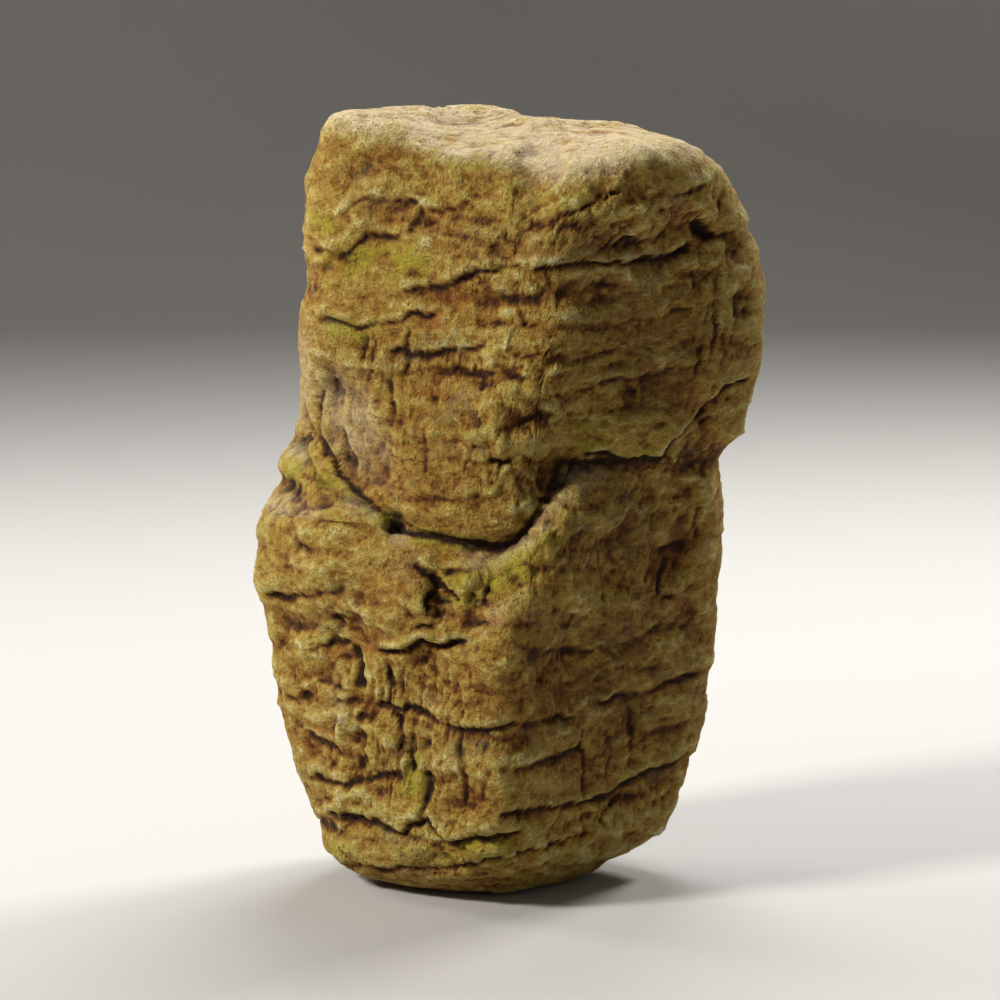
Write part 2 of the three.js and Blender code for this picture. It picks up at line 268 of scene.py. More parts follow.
def drawToOutline(p):
    # each row is drawn out sideways until its ends meet the stone's outline
    ends = np.arange(len(p))
    x, z = p[..., 0], p[..., 2]
    i, j = x.argmin(1), x.argmax(1)
    leftX, leftZ, rightX, rightZ = x[ends, i], z[ends, i], x[ends, j], z[ends, j]
    leftShift = (tableAt("leftEdge", leftZ) - leftX) * (1 - smooth(leftZ, *stoneForm["leftTop"]))
    leftShift = leftShift * smooth(leftZ, *stoneForm["edgeFoot"])
    rightShift = (tableAt("rightEdge", rightZ) - rightX) * (1 - smooth(rightZ, *stoneForm["rightTop"]))
    rightShift = rightShift * smooth(rightZ, *stoneForm["edgeFoot"])
    t = (x - leftX[:, None]) / (rightX - leftX)[:, None]
    q = p.copy()
    q[..., 0] = x + leftShift[:, None] * (1 - t) ** 3 + rightShift[:, None] * t ** 3
    return q


def closeStep(lower, upper, turn):
    # where the upper block stands out too far over the lower one, the lower wall leans out to it and the
    # upper wall draws back, both dying away with the height from the seam
    outwards = np.stack([np.sin(turn), -np.cos(turn), 0 * turn], -1)
    step = ((upper[0] - lower[-1]) * outwards).sum(-1)
    extra = np.maximum(step - tableAt("overhang", np.degrees(turn)), 0)
    extra = sum(np.roll(extra, k) for k in range(-4, 5)) / 9
    below = (lower[-1, :, 2] - lower[..., 2]) / stoneForm["giveWay"]
    above = (upper[..., 2] - upper[0, :, 2]) / stoneForm["giveWay"]
    pushShare, pushReach = stoneForm["leanOut"]
    pullShare, pullReach = stoneForm["drawBack"]
    push = (pushShare * extra * (1 - smooth(below, 0, pushReach)))[..., None] * outwards
    pull = (pullShare * extra * (1 - smooth(above, 0, pullReach)))[..., None] * outwards
    return lower + push, upper - pull


def wallGrid():
    # the lower block's rows up to the seam, a few between, and the upper block's rows from there; the share
    # at which a column crosses the seam is found by halving
    columns, below = stoneForm["columns"], stoneForm["rowsBelow"]
    between, above = stoneForm["rowsBetween"], stoneForm["rowsAbove"]
    s = np.linspace(-np.pi, np.pi, columns, endpoint=False)
    turn = s - stoneForm["frontGather"] * np.sin(s)
    seamHeight = tableAt("seam", np.degrees(turn))
    low, high = (np.full(columns, share) for share in stoneForm["seamWithin"])
    for halving in range(stoneForm["seamHalvings"]):
        middle = (low + high) / 2
        under = blockPoint("upper", turn, middle)[:, 2] < seamHeight
        low, high = np.where(under, middle, low), np.where(under, high, middle)
    lengths, shares = wallLengths()
    toSeam = np.interp(low, shares, lengths)
    crowd = stoneForm["seamCrowding"]
    reach = (1 - np.linspace(0, 1, below))[:, None] ** crowd
    lowerShare = np.interp(toSeam * (1 - reach), lengths, shares)
    reach = np.linspace(0, 1, above)[:, None] ** crowd
    upperShare = np.interp(toSeam + (lengths[-1] - toSeam) * reach, lengths, shares)
    lower = blockPoint("lower", np.ones((below, 1)) * turn, lowerShare)
    upper = blockPoint("upper", np.ones((above, 1)) * turn, upperShare)
    lower, upper = closeStep(lower, upper, turn)
    lower[1:] = drawToOutline(lower[1:])
    upper[:-1] = drawToOutline(upper[:-1])
    t = (np.arange(1, between + 1) / (between + 1))[:, None, None]
    step = lower[-1:] * (1 - t) + upper[:1] * t
    p = np.concatenate([lower, step, upper])
    return p, np.ones((len(p), 1)) * turn, seamHeight


def wallNormals(p):
    # square to the wall: across the step round a row and the step up a column
    across = np.roll(p, -1, 1) - np.roll(p, 1, 1)
    upwards = np.gradient(p, axis=0)
    n = np.cross(across, upwards)
    return n / np.maximum(np.linalg.norm(n, axis=-1, keepdims=True), 1e-9)


# swells and hollows on the front: pixels across and down, half width, half height, turn, millimetres out
frontSwells = {
    "chin": (445, 465, 95, 85, 0, 4),
    "neckHigh": (592, 500, 46, 44, -30, 5),
    "chinRight": (556, 470, 30, 46, 20, -1.5),
    "capLobe": (645, 185, 95, 60, 8, 7),
    "lowLobe": (645, 425, 62, 36, 5, 6),
    "leftShoulder": (300, 560, 55, 70, 0, 4),
    "knobBlock": (390, 600, 50, 34, 10, 5),
    "arm": (530, 555, 85, 20, 35, 4),
    "arrisHead": (497, 650, 34, 40, 0, 4),
    "rightRim": (712, 560, 22, 90, 0, 3),
    "crownChute": (455, 134, 60, 16, 0, -3),
    "topCrease": (540, 170, 26, 80, -10, -5),
    "capUnderside": (600, 290, 110, 24, 6, -3),
    "midDent": (440, 370, 60, 40, 0, -3),
    "rightDent": (650, 330, 70, 60, 0, -3),
    "neck": (600, 540, 80, 60, 30, -3),
    "rightHollow": (672, 562, 20, 66, -28, -5.5),
    "arrisHollow": (560, 650, 44, 60, 0, -4),
    "leftRecess": (322, 410, 14, 60, -4, -3),
    "valley": (440, 590, 22, 40, 0, -6),
    "filmRidge": (334, 492, 50, 13, -42, 4.5),
    "filmLump": (293, 461, 20, 22, -20, 3.5),
    "filmKnob": (376, 520, 13, 9, -20, 2.5),
    "filmRecess": (331, 455, 34, 9, -58, -4.5),
    "leftHollow": (345, 640, 26, 30, 0, -3),
    "slabHigh": (376, 680, 13, 30, 0, 2.2),
    "slabLow": (380, 748, 18, 42, 4, 3.0),
    "slabGroove": (411, 752, 7, 36, 0, -2.4),
    "slabRight": (446, 778, 15, 48, 0, 2.0),
    "mossGroove": (428, 760, 6, 44, 0, -1.6),
    "footLump": (410, 850, 26, 14, 0, 2.4),
    "ribA": (345, 740, 8, 30, 3, 1.2),
    "ribB": (470, 690, 12, 26, -4, 1.6),
    "armRib": (470, 585, 30, 7, 48, 2.2),
    "pit": (392, 523, 13, 10, 16, -7),
    "pitTail": (404, 528, 13, 5, -20, -4),
    "rightPit": (706, 230, 17, 8, -34, -5),
    "rightKnob": (704, 206, 17, 13, -20, 3),
}
swellFade = (0.25, 1.15)  # shares of an ellipse between which a swell dies away


def ellipse(px, py, place, fade):
    # 1 in the middle of a turned ellipse as seen, 0 outside it, and an S curve between the two fades
    cx, cy, halfWidth, halfHeight, turn = place
    a = np.radians(turn)
    dx, dy = px - cx, cy - py
    s, t = dx * np.cos(a) + dy * np.sin(a), dy * np.cos(a) - dx * np.sin(a)
    return 1 - smooth(np.hypot(s / halfWidth, t / halfHeight), *fade)


def swellField(px, py):
    # each swell is an ellipse, full in its middle and gone at its rim
    return sum(out * ellipse(px, py, place, swellFade) for *place, out in frontSwells.values())


# each runs through points in pixels; the wall on its left hand (above it, for one drawn left to right)
# stands out, the wall on its right hand steps back, and a crack lies between
# out, back and crack in millimetres, then how far the lip and the shelf reach, in pixels
frontLedges = {
    "browHigh": (1.5, 0.6, 0.9, 26, [
        (336, 216), (355, 205), (369, 199), (382, 198), (410, 199), (419, 205), (456, 206), (476, 197)]),
    "browNotch": (-2.0, -0.6, 0.5, 22, [(419, 205), (412, 222), (406, 236)]),
    "browLow": (1.3, 0.8, 1.0, 22, [(332, 257), (348, 250), (369, 236), (406, 236)]),
    "bedOne": (2.2, 0.8, 1.8, 26, [
        (398, 290), (419, 285), (442, 285), (460, 277), (490, 268), (527, 266), (561, 264), (600, 254)]),
    "capUnder": (3.4, 1.4, 2.6, 34, [
        (529, 270), (569, 266), (614, 261), (647, 258), (670, 254), (692, 245)]),
    "bedTwo": (2.2, 0.8, 2.4, 24, [
        (308, 312), (318, 314), (339, 320), (362, 324), (387, 322), (401, 320), (414, 313), (442, 314)]),
    "bedThree": (1.3, 0.8, 1.5, 20, [(391, 351), (430, 353), (458, 349), (488, 342)]),
    "leaf": (0.8, 0.5, 1.8, 10, [(326, 386), (319, 408), (318, 432), (329, 460)]),
    "jointA": (0.8, 0.4, 1.6, 12, [(434, 410), (434, 392)]),
    "jointB": (0.8, 0.6, 1.4, 14, [(408, 378), (407, 350), (408, 328)]),
    "jointC": (-0.7, -0.5, 1.2, 14, [(365, 374), (366, 350), (365, 328)]),
    "sideCrackA": (0.8, 0.6, 1.6, 14, [(304, 247), (320, 249), (336, 248)]),
    "sideCrackB": (0.8, 0.6, 1.6, 12, [(300, 392), (312, 396), (322, 392)]),
    "lobeCrack": (1.4, 0.6, 1.8, 16, [(559, 215), (582, 209), (601, 197)]),
    "capPitA": (0.9, 0.8, 1.8, 12, [(684, 214), (696, 222), (715, 235), (736, 231)]),
    "capPitB": (0.8, 0.5, 1.4, 12, [(676, 198), (697, 190), (715, 186)]),
    "capEdge": (1.4, -1.0, 0.0, 12, [
        (596, 146), (641, 149), (679, 171), (716, 190), (740, 228), (757, 275)]),
    "topEdge": (1.2, -1.0, 0.0, 10, [(330, 128), (365, 138), (420, 146), (470, 160)]),
    "bedFour": (0.7, 0.7, 1.2, 18, [(578, 388), (610, 381), (647, 376), (681, 369), (715, 358)]),
    "wedge": (2.2, 1.6, 3.6, 22, [(660, 460), (680, 441), (709, 406), (727, 388), (756, 378)]),
    "seamLeft": (0.8, -1.0, 2.4, 14, [
        (300, 440), (316, 437), (332, 455), (341, 480), (359, 496), (378, 508), (391, 520)]),
    "seamMid": (1.2, 0.4, 2.6, 14, [
        (391, 522), (414, 531), (430, 535), (460, 539), (488, 546), (502, 547), (527, 530)]),
    "seamRise": (0.8, 0.0, 1.8, 14, [(527, 530), (545, 500), (561, 479), (573, 463), (583, 455)]),
    "seamRight": (2.6, 1.0, 3.0, 20, [(583, 455), (610, 455), (630, 462), (653, 461), (670, 455)]),
    "valleyA": (2.8, 1.6, 3.0, 20, [(412, 561), (435, 574), (445, 584), (462, 604)]),
    "valleyB": (1.4, 1.4, 2.6, 14, [(427, 615), (428, 597), (440, 581)]),
    "valleyC": (1.4, 0.8, 1.8, 12, [(442, 572), (465, 571), (485, 566)]),
    "ridgeA": (1.6, 1.2, 0.0, 10, [(436, 582), (447, 600), (458, 620)]),
    "ridgeB": (1.6, 1.4, 0.6, 14, [(479, 607), (492, 577), (527, 556), (561, 528)]),
    "chipLeft": (2.2, 1.2, 2.2, 18, [(302, 650), (318, 646), (332, 643), (355, 641)]),
    "notchLeft": (2.0, 1.8, 2.8, 12, [(330, 612), (341, 620), (352, 628)]),
    "jointLeft": (1.0, 0.4, 2.8, 12, [(354, 645), (357, 668), (355, 690)]),
    "chipLow": (1.0, 1.0, 1.8, 12, [(332, 694), (344, 697), (357, 698)]),
    "kneeTop": (1.0, 1.0, 2.2, 12, [(408, 627), (425, 622), (442, 624)]),
    "knee": (3.4, 1.6, 3.4, 24, [(376, 649), (392, 652), (405, 650), (424, 639), (440, 644), (470, 639)]),
    "slabTop": (0.8, 0.6, 1.4, 12, [(392, 664), (386, 684), (389, 705)]),
    "slabSide": (2.2, 1.2, 2.6, 14, [(396, 752), (399, 738), (398, 727), (393, 708)]),
    "longCrack": (1.2, 0.7, 1.9, 18, [
        (368, 703), (391, 706), (414, 706), (435, 718), (456, 728), (490, 729), (532, 721), (562, 717),
        (578, 713), (582, 709), (612, 702), (647, 689), (667, 684), (705, 672)]),
    "pitsLow": (0.8, 0.8, 2.0, 12, [(300, 729), (316, 738), (332, 746)]),
    "slabFoot": (1.4, 0.8, 2.0, 14, [(413, 772), (412, 760), (408, 748)]),
    "mossJoint": (1.6, 1.0, 2.4, 12, [(424, 822), (429, 796), (424, 768)]),
    "bedFive": (1.0, 1.0, 1.8, 18, [(492, 771), (532, 765), (569, 752), (589, 746)]),
    "jointRightA": (0.8, 0.6, 1.8, 14, [(583, 798), (582, 760), (582, 722)]),
    "jointRightB": (0.6, 0.6, 1.4, 12, [(604, 778), (606, 755), (608, 732)]),
    "lowCrackA": (2.4, 1.0, 2.8, 22, [
        (322, 811), (332, 814), (350, 817), (375, 821), (387, 828), (405, 830), (410, 822), (430, 821),
        (440, 833), (453, 840), (481, 841), (515, 836), (529, 830)]),
    "lowCrackB": (1.8, 1.3, 3.0, 22, [
        (497, 817), (530, 812), (555, 808), (601, 798), (619, 789), (637, 775), (670, 766), (692, 750)]),
    "footCrack": (1.2, 1.0, 1.6, 18, [
        (336, 863), (360, 868), (387, 870), (450, 868), (515, 860), (550, 849), (568, 840), (600, 832)]),
    "rightJointA": (-1.0, -0.6, 1.2, 12, [(697, 500), (694, 520), (696, 545)]),
    "rightStep": (0.8, 0.7, 1.3, 14, [(658, 552), (670, 549), (690, 544)]),
    "rightJointB": (-1.0, -0.6, 1.2, 12, [(668, 552), (660, 575), (656, 599)]),
    "rightCrackB": (0.8, 0.6, 1.4, 14, [(656, 600), (676, 594), (699, 588)]),
    "rimJointA": (0.6, 0.4, 1.0, 12, [(716, 350), (718, 310), (715, 262)]),
    "rimJointB": (0.5, 0.4, 0.9, 12, [(734, 348), (738, 310), (734, 270)]),
    "bedSix": (0.6, 0.6, 0.8, 18, [(500, 640), (540, 652), (585, 650), (630, 640), (668, 622)]),
    "bedSeven": (0.5, 0.5, 0.9, 18, [(530, 318), (575, 326), (640, 322), (700, 306)]),
    "bedEight": (0.5, 0.5, 0.9, 16, [(395, 432), (430, 438), (470, 436), (520, 424), (560, 410)]),
    "slabEdge": (1.0, 0.8, 1.6, 10, [(392, 700), (390, 680), (386, 660)]),
    "slabLeft": (0.9, 0.6, 1.4, 10, [(360, 712), (362, 740), (366, 776)]),
    "rightEdgeC": (0.9, 0.7, 1.4, 10, [(462, 812), (464, 780), (460, 742)]),
    "jointMidA": (0.7, 0.5, 1.3, 10, [(486, 735), (488, 770), (484, 806)]),
    "jointMidB": (0.7, 0.5, 1.2, 10, [(520, 660), (524, 690), (520, 716)]),
    "jointMidC": (0.7, 0.5, 1.2, 10, [(630, 700), (634, 730), (630, 768)]),
    "jointHighA": (0.7, 0.5, 1.2, 10, [(372, 330), (374, 352), (372, 380)]),
    "jointHighB": (0.6, 0.5, 1.2, 10, [(424, 420), (426, 450), (422, 480)]),
    "jointHighC": (0.6, 0.5, 1.2, 10, [(392, 376), (394, 404), (390, 430)]),
    "notchLow": (1.0, 0.8, 1.8, 10, [(304, 735), (320, 744), (336, 748), (348, 757)]),
    "leftBedA": (1.0, 1.0, 1.8, 16, [(262, 590), (285, 596), (315, 594), (350, 586)]),
    "leftBedB": (0.9, 0.9, 1.6, 16, [(272, 690), (290, 696), (312, 694)]),
    "leftBedC": (1.0, 0.9, 1.8, 16, [(304, 775), (335, 782), (372, 780), (402, 774)]),
}
crackWidth = 3.0  # pixels
lipWidth = 2.4  # pixels over which a ledge's lip turns down
ledgeTaper = 10.0  # pixels over which a ledge dies out at its ends


# flat breaks on the front: a crease runs through the points, and the wall on its right hand falls away
# from it by so many millimetres a pixel, down to a limit in millimetres, within a reach in pixels
frontBreaks = {
    "leftBreak": (0.26, 9.0, 130, [
        (296, 306), (316, 326), (345, 348), (372, 374), (395, 425), (416, 478), (424, 512)]),
    "browBreak": (0.10, 3.0, 60, [(470, 196), (440, 212), (414, 240), (404, 262)]),
    "kneeBreak": (0.12, 3.5, 50, [(470, 640), (452, 668), (440, 702), (444, 730)]),
    "lobeBreak": (0.14, 4.0, 50, [(728, 236), (690, 262), (640, 276), (585, 284)]),
    "armBreak": (0.12, 4.0, 60, [(560, 560), (520, 590), (498, 628), (500, 680)]),
    "shoulderBreak": (0.14, 4.0, 60, [(345, 540), (322, 575), (318, 610), (326, 640)]),
    "neckBreak": (0.10, 3.0, 60, [(640, 500), (652, 540), (640, 600), (618, 640)]),
}


def alongLine(px, py, line):
    # from each point to the nearest of a line's stretches: how far, on which hand, and how far along it;
    # and the line's whole length
    points = np.array(line, float)
    near = np.full(px.shape, 1e9)
    hand, walked = np.zeros_like(px), np.zeros_like(px)
    steps = np.hypot(*np.diff(points, axis=0).T)
    before = np.concatenate([[0], np.cumsum(steps)])
    for k in range(len(points) - 1):
        (ax, ay), (bx, by) = points[k], points[k + 1]
        dx, dy = (bx - ax) / steps[k], (by - ay) / steps[k]
        t = np.clip((px - ax) * dx + (py - ay) * dy, 0, steps[k])
        qx, qy = px - ax - t * dx, py - ay - t * dy
        far = np.hypot(qx, qy)
        closer = far < near
        near = np.where(closer, far, near)
        hand = np.where(closer, np.sign(dy * qx - dx * qy), hand)
        walked = np.where(closer, before[k] + t, walked)
    return near, hand, walked, before[-1]


def breakField(px, py):
    # beside each crease the depth grows evenly with the distance, and dies out at the ends and at the reach
    total = np.zeros_like(px)
    for slope, limit, reach, line in frontBreaks.values():
        near, hand, walked, whole = alongLine(px, py, line)
        ends = smooth(walked, 0, 0.3 * whole) * (1 - smooth(walked, 0.75 * whole, whole))
        depth = np.minimum(slope * near, limit) * (1 - smooth(near, 0.5 * reach, reach))
        total -= np.where(hand < 0, ends * depth, 0)
    return total


# grooves that run one way: pixels across and down, half width, half height, the way they run, and
# millimetres deep
frontStrokes = [
    (600, 215, 95, 46, 36, 1.3), (716, 310, 34, 84, 88, 1.2), (400, 396, 80, 74, 84, 0.7),
    (620, 700, 105, 110, 8, 0.9), (410, 730, 80, 90, 86, 1.1), (468, 590, 56, 34, -48, 1.3),
    (300, 560, 56, 64, 12, 0.7), (620, 540, 80, 64, 60, 0.9),
    (420, 170, 90, 40, -20, 0.7), (560, 360, 90, 70, 14, 0.8), (440, 850, 110, 36, 4, 0.8)]
strokeSize = (6.5, 46.0)  # pixels across a groove and along it


def strokeField(px, py):
    # each patch: ridged noise, drawn out along the way its grooves run
    total = np.zeros_like(px)
    for k, (cx, cy, halfWidth, halfHeight, turn, depth) in enumerate(frontStrokes):
        a = np.radians(turn)
        dx, dy = px - cx, cy - py
        along, across = dx * np.cos(a) + dy * np.sin(a), dy * np.cos(a) - dx * np.sin(a)
        inside = 1 - smooth(np.hypot(dx / halfWidth, dy / halfHeight), 0.5, 1.3)
        p = np.stack([across / strokeSize[0], along / strokeSize[1], 0 * px], -1)
        ridged = 1 - 2 * np.abs(layers(p, (1, 1, 1), 91 + k, 2))
        total = total + inside * depth * (ridged - 0.5)
    return total


def ledgeField(px, py, fading):
    # the raised side falls away from a lip, the low side rises again from a shelf, and the crack between
    # them is a narrow bell; the crack comes and goes with the fading
    total, crack = np.zeros_like(px), np.zeros_like(px)
    for out, back, deep, reach, line in frontLedges.values():
        near, hand, walked, whole = alongLine(px, py, line)
        ends = smooth(walked, -1, ledgeTaper) * (1 - smooth(walked, whole - ledgeTaper, whole + 1))
        ends = ends * (1 - smooth(near, reach * 1.6, reach * 2.6))
        side = smooth(near * hand, -lipWidth, lipWidth)
        step = side * out * np.exp(-near / reach) - (1 - side) * back * np.exp(-near / (0.8 * reach))
        total += ends * (step * (0.5 + 0.5 * fading) - deep * fading * bump(near / crackWidth))
        crack = np.maximum(crack, fading * ends * np.minimum(deep / 3, 1) * bump(near / (crackWidth * 1.2)))
    return total, crack


stoneRelief = {
    "seed": 7, "bedThickness": (15.0, 34.0), "bedTilt": 0.06, "bedWander": 11.0,
    "bedStep": 2.2, "bedLip": 1.5, "bedCrack": 1.5,
    "blockLength": (34.0, 75.0), "blockStep": 1.4, "jointCrack": 1.0,
    "bedsFrom": -60.0, "bedCount": 40, "numbers": 60, "girthRadius": 112.0, "crackWidths": (1.5, 1.6),
    "frontShare": 0.3,  # how much of the wandering beds and joints is left where the front has its own
    "lumps": 2.2, "humps": 1.0, "flakes": 0.65, "chips": 0.5, "crumbs": 0.32, "laminae": 0.6, "grit": 0.38,
    "flutes": 0.8, "wideScoops": 3.6, "scoops": 0.9, "smallScoops": 0.45, "bias": -0.5,
}
# the size of each kind of relief, across, deep and high in millimetres, and its seed
reliefSizes = {
    "lumps": ((62, 62, 46), 41), "humps": ((26, 26, 18), 42), "laminae": ((30, 30, 4.6), 61),
    "grit": ((5.0, 5.0, 4.0), 64), "flutes": ((8.5, 30, 55), 63),
    "flakes": ((22, 22, 15), 51), "chips": ((11, 11, 8), 52), "crumbs": ((6, 6, 5), 53),
    "wideScoops": ((28, 28, 21), 54), "scoops": ((13, 13, 11), 55), "smallScoops": ((6.5, 6.5, 6), 56)}


def bedding(p, n, turn, front):
    # beds: the height, tilted and warped, falls into layers of uneven thickness; each layer stands out by
    # its own amount with a lip at its foot and a crack under it; joints cut each layer into blocks, and
    # slow noise lets cracks come and go
    rng = np.random.default_rng(stoneRelief["seed"])
    warp = stoneRelief["bedWander"] * layers(p, (110, 110, 120), 31, 3) + 3.2 * layers(p, (26, 26, 26), 32, 3)
    height = p[..., 2] + stoneRelief["bedTilt"] * p[..., 0] + warp
    thickness = rng.uniform(*stoneRelief["bedThickness"], stoneRelief["bedCount"])
    edges = stoneRelief["bedsFrom"] + np.cumsum(thickness)
    bed = np.searchsorted(edges, height.ravel()).reshape(height.shape)
    under, over = edges[bed - 1], edges[bed]
    part = (height - under) / (over - under)
    toEdge = np.minimum(height - under, over - height)
    shows = smooth(layers(p, (46, 46, 34), 33, 3), -0.05, 0.32)
    count = stoneRelief["numbers"]
    own = rng.uniform(-1, 1, count)[bed]
    wander = noise(p + bed[..., None] * 37.0, (60, 60, 60), 34)
    out = stoneRelief["bedStep"] * (0.45 * own + 0.75 * wander)
    out = out + stoneRelief["bedLip"] * shows * (np.exp(-part * 3.2) - 0.4)
    crackWidth, jointWidth = stoneRelief["crackWidths"]
    crack = shows * bump(toEdge / crackWidth)
    girth = 2 * np.pi * stoneRelief["girthRadius"]
    blocks = np.round(girth / rng.uniform(*stoneRelief["blockLength"], count))[bed]
    starts = rng.uniform(0, 900, count)[bed]
    walk = turn / (2 * np.pi) * blocks + (starts + 6 * noise(p, (20, 20, 26), 35)) * blocks / girth
    block = np.floor(walk).astype(np.int64)
    toJoint = np.minimum(walk - block, 1 - walk + block) * girth / blocks
    block = block % blocks.astype(np.int64)
    ownBlock = lattice(block, bed.astype(np.int64), block * 0, 36) - 0.5
    jointShows = smooth(noise(p + 500, (55, 55, 40), 37), -0.1, 0.4)
    out = out + 2 * stoneRelief["blockStep"] * ownBlock * smooth(toJoint, 0, 5)
    joint = jointShows * bump(toJoint / jointWidth) * (1 - smooth(n[..., 2], 0.3, 0.7))
    total = out - stoneRelief["bedCrack"] * crack - stoneRelief["jointCrack"] * joint
    share = 1 - (1 - stoneRelief["frontShare"]) * front
    return total * share, np.maximum(crack, 0.8 * joint) * share


def relief(p, n, turn, px, front):
    # the wall's relief in millimetres outwards: beds, lumps and thin layers; plates that tilt and bowls,
    # both on warped places; flutes, where the right of the front has them; and grit
    r = stoneRelief
    slabs, cracks = bedding(p, n, turn, front)
    total = r["bias"] + slabs + r["lumps"] * layers(p, *reliefSizes["lumps"], 2)
    total = total + r["humps"] * layers(p, *reliefSizes["humps"], 3)
    total = total + r["laminae"] * layers(p, *reliefSizes["laminae"], 2)
    uneven = 0.5 + 0.75 * smooth(layers(p, (44, 44, 36), 65, 2), -0.3, 0.35)  # calm places and rough ones
    rough = r["grit"] * layers(p, *reliefSizes["grit"], 2)
    warped = p + 4.0 * np.stack([noise(p, (14, 14, 14), 43 + k) for k in range(3)], -1)
    for name in ("flakes", "chips", "crumbs"):
        number, edge, slope = cells(warped, *reliefSizes[name])
        rough = rough + r[name] * (1.6 * number * smooth(edge, 0.0, 0.2) + 3.0 * slope)
    for name in ("wideScoops", "scoops", "smallScoops"):
        rough = rough + r[name] * scoops(warped, *reliefSizes[name])
    fluted = smooth(px, 500, 620) * front * smooth(layers(p, (60, 60, 60), 62, 2), -0.3, 0.3)
    total = total - r["flutes"] * fluted * (1 - np.abs(noise(p, *reliefSizes["flutes"])))
    total = total + uneven * rough
    return total, cracks


# the groove along the seam, in millimetres: how it wanders, how ragged it is, how wide its cut, its quiet
# strip and its dark line are, and how far above and below the step is evened out
seamForm = {
    "wander": 2.4, "girthRadius": 110, "ragged": 0.7, "drop": 1.0, "cutWidth": 3.6, "quietWidth": 7.0, 
    "darkWidth": 4.0, "evenWidth": 6.0, "evenReaches": (5, 3)}
# where the relief dies away: near the foot and the crown, on calm patches, at the rim and along the seam;
# and what the colours read from it
wallForm = {
    "frontFacing": (0.0, 0.35), "topFacing": (0.3, 0.7), "crownReach": 1.6, "fade": (-0.45, 0.1),
    "footHeight": 5.0, "crownFade": (1.0, 14.0), "footShare": 0.25, "calmShare": 0.6,
    "rimShare": 0.35, "rimWidth": 0.3, "rimDepth": 30, "seamShare": 0.35,
    "darkShare": 0.7, "reliefReach": 7, "reliefHeight": 2.4}
# how far the places on the front wander, in pixels, over what length, in millimetres, and the seed
sways = {"swells": (4, 8, 78), "breaks": (6, 16, 68), "ledges": (3.2, 9, 71), "fine": (1.2, 4, 75)}


def swayed(p, px, py, *names, times=1):
    # the places as seen, shifted by the sum of the named sways
    def shift(k):
        chosen = (sways[name] for name in names)
        return times * sum(strength * noise(p, 3 * (size,), seed + k) for strength, size, seed in chosen)

    return px + shift(0), py + shift(1)


def buildStone():
    # the wall, pushed along its normals by the large forms, then by the ledges and the relief
    w = wallForm
    grid, turn, seamHeight = wallGrid()
    n = wallNormals(spread(grid, 4))
    px, py = seen(grid)
    front = smooth(-n[..., 1], *w["frontFacing"])
    big = swellField(*swayed(grid, px, py, "swells")) * front
    big = big + breakField(*swayed(grid, px, py, "breaks")) * front
    deep = tableAt("undercut", np.degrees(turn))
    ragged = 1 + seamForm["ragged"] * noise(grid, (13, 13, 13), 73)
    roundStone = np.stack([turn * seamForm["girthRadius"], 0 * turn, 0 * turn], -1)
    seamHeight = seamHeight + seamForm["wander"] * noise(roundStone, (12, 12, 12), 74)
    big = big - deep * ragged * bump((grid[..., 2] - seamHeight + seamForm["drop"]) / seamForm["cutWidth"])
    for x, y, radius, rise in stoneForm["crown"]:
        far = np.hypot(grid[..., 0] - x, grid[..., 1] - y) / radius
        big = big + rise * (1 - smooth(far, 0, w["crownReach"])) * smooth(n[..., 2], *w["topFacing"])
    grid = grid + n * big[..., None]
    share = tableAt("evened", np.degrees(turn)) * bump((grid[..., 2] - seamHeight) / seamForm["evenWidth"])
    for reach in seamForm["evenReaches"]:
        grid = grid + share[..., None] * (spread(grid, reach) - grid)
    print("main form done")
    n = wallNormals(spread(grid, 4))
    px, py = seen(grid)
    front = smooth(-n[..., 1], *w["frontFacing"])
    fading = 0.5 + 0.5 * smooth(noise(grid, (17, 17, 17), 77), *w["fade"])
    ledges, frontCracks = ledgeField(*swayed(grid, px, py, "ledges", "fine"), fading)
    ledges = ledges + strokeField(*swayed(grid, px, py, "ledges", "fine", times=1.5))
    small, cracks = relief(grid, n, turn, px, front)
    foot = smooth(grid[..., 2], 0.0, w["footHeight"])
    crownPoint = grid[-1].mean(0)
    fromCrown = np.hypot(grid[..., 0] - crownPoint[0], grid[..., 1] - crownPoint[1])
    below = np.broadcast_to(np.arange(len(grid))[:, None] < stoneForm["rowsBelow"], turn.shape)
    foot = foot * np.where(below, 1, smooth(fromCrown, *w["crownFade"]))
    calm = 1 - w["calmShare"] * patchField(px, py, calmPatches) * front
    rim = 1 - w["rimShare"] * bump(n[..., 1] / w["rimWidth"]) * smooth(-grid[..., 1], -w["rimDepth"], 0)
    total = ledges * front + small * calm * rim * (w["footShare"] + (1 - w["footShare"]) * foot)
    fromSeam = grid[..., 2] - seamHeight + seamForm["drop"]
    total = total * (1 - w["seamShare"] * bump(fromSeam / seamForm["quietWidth"]))
    p = grid + n * total[..., None]
    p[..., 2] = np.maximum(p[..., 2], 0)
    for ring in (0, -1):
        p[ring] = p[ring].mean(0)  # the foot and the crown are one point each
    height = np.clip(0.5 + (total - spread(total, w["reliefReach"])) / w["reliefHeight"], 0, 1)
    cracks = np.maximum(cracks, frontCracks * front)
    cracks = np.maximum(cracks, w["darkShare"] * bump(fromSeam / seamForm["darkWidth"]))
    print("relief done")
    return p, n, cracks, height, px, py, front


boxGap = 0.1  # millimetres between the surface and the sides of the solid's box


